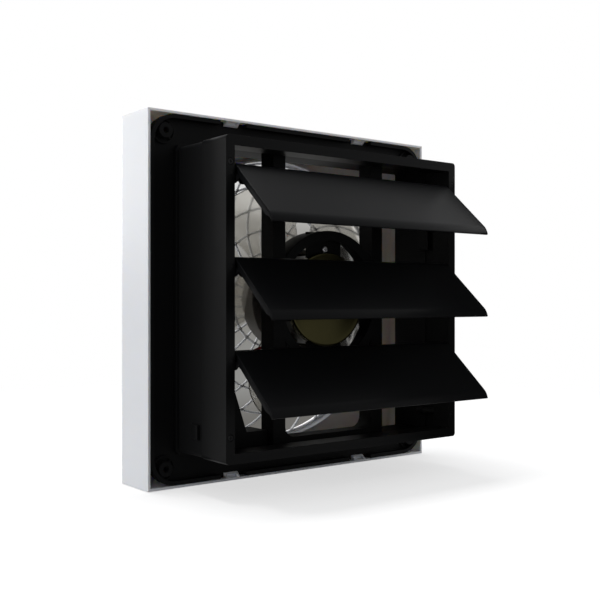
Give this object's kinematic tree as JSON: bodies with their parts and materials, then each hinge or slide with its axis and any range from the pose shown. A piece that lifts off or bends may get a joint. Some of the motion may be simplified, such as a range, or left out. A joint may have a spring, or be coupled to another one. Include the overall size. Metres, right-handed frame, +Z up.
{
  "type": "window exhaust fan",
  "caption": "Square exhaust fan for a wall or window opening: clip-on front panel with a round intake grille, motor on a bracket in the duct, and a shutter of linked louvres.",
  "frame": {"origin": "on the fan's axis, in the plane where the flange's border and bosses meet the wall, which is the middle of the four wall screws", "axes": "+Y out of the room along the air, +Z up, +X to the left when the louvres are looked at"},
  "size_m": [0.3, 0.1626, 0.3],
  "materials": {
    "white_plastic": "satin",
    "black_plastic": "satin",
    "louvre_plastic": "satin",
    "passivated_steel": "satin",
    "black_steel": "satin",
    "core_steel": "matte",
    "copper": "gloss",
    "bright_steel": "satin",
    "bronze": "matte",
    "washer_plastic": "matte",
    "impeller_plastic": "satin",
    "cream_plastic": "matte",
    "brass": "satin",
    "rubber": "matte",
    "red_insulation": "satin",
    "olive_insulation": "satin"
  },
  "bodies": {
    "housing": {"front_panel": "white_plastic", "front_grille": "white_plastic", "body_frame": "black_plastic", "shutter_frame": "black_plastic", "motor_bracket": "black_plastic", "motor_rear_shield": "passivated_steel", "motor_front_shield": "passivated_steel", "motor_shell": "black_steel", "stator_core": "core_steel", "stator_winding": "copper", "rear_bearing": "bronze", "front_bearing": "bronze", "motor_screws": "bright_steel", "bracket_screws": "bright_steel", "shutter_screws": "black_steel", "terminal_box": "black_plastic", "terminal_cover": "black_plastic", "terminal_cover_screw": "bright_steel", "terminal_block": "cream_plastic", "terminal_screws": "brass", "inlet_grommet": "rubber", "motor_lead_red": "red_insulation", "motor_lead_olive": "olive_insulation"},
    "fan_wheel": {"impeller": "impeller_plastic", "impeller_nut": "bright_steel", "drive_pin": "bright_steel", "motor_shaft": "bright_steel", "rotor": "core_steel", "thrust_washers": "washer_plastic"},
    "louvre_top": {"louvre_top": "louvre_plastic"},
    "louvre_middle": {"louvre_middle": "louvre_plastic"},
    "louvre_bottom": {"louvre_bottom": "louvre_plastic"},
    "link": {"link_bar": "black_plastic"}
  },
  "joints": [
    {"name": "fan_spin", "type": "hinge", "parent": "housing", "child": "fan_wheel", "pos_m": [0, 0, 0], "axis": [0, 1, 0], "continuous": true},
    {"name": "louvre_middle_swing", "type": "hinge", "parent": "housing", "child": "louvre_middle", "pos_m": [0, 0.064, 0.024], "axis": [1, 0, 0], "range_deg": [-45, 30]},
    {"name": "louvre_top_swing", "type": "hinge", "parent": "housing", "child": "louvre_top", "pos_m": [0, 0.064, 0.094], "axis": [1, 0, 0], "range_deg": [-45, 30]},
    {"name": "louvre_bottom_swing", "type": "hinge", "parent": "housing", "child": "louvre_bottom", "pos_m": [0, 0.064, -0.046], "axis": [1, 0, 0], "range_deg": [-45, 30]},
    {"name": "link_swing", "type": "hinge", "parent": "louvre_middle", "child": "link", "pos_m": [0.1063, 0.04986, 0.024], "axis": [1, 0, 0], "range_deg": [-30, 45]}
  ],
  "couplings": [
    {"joint": "louvre_top_swing", "follows": "louvre_middle_swing", "ratio": 1},
    {"joint": "louvre_bottom_swing", "follows": "louvre_middle_swing", "ratio": 1},
    {"joint": "link_swing", "follows": "louvre_middle_swing", "ratio": -1}
  ]
}
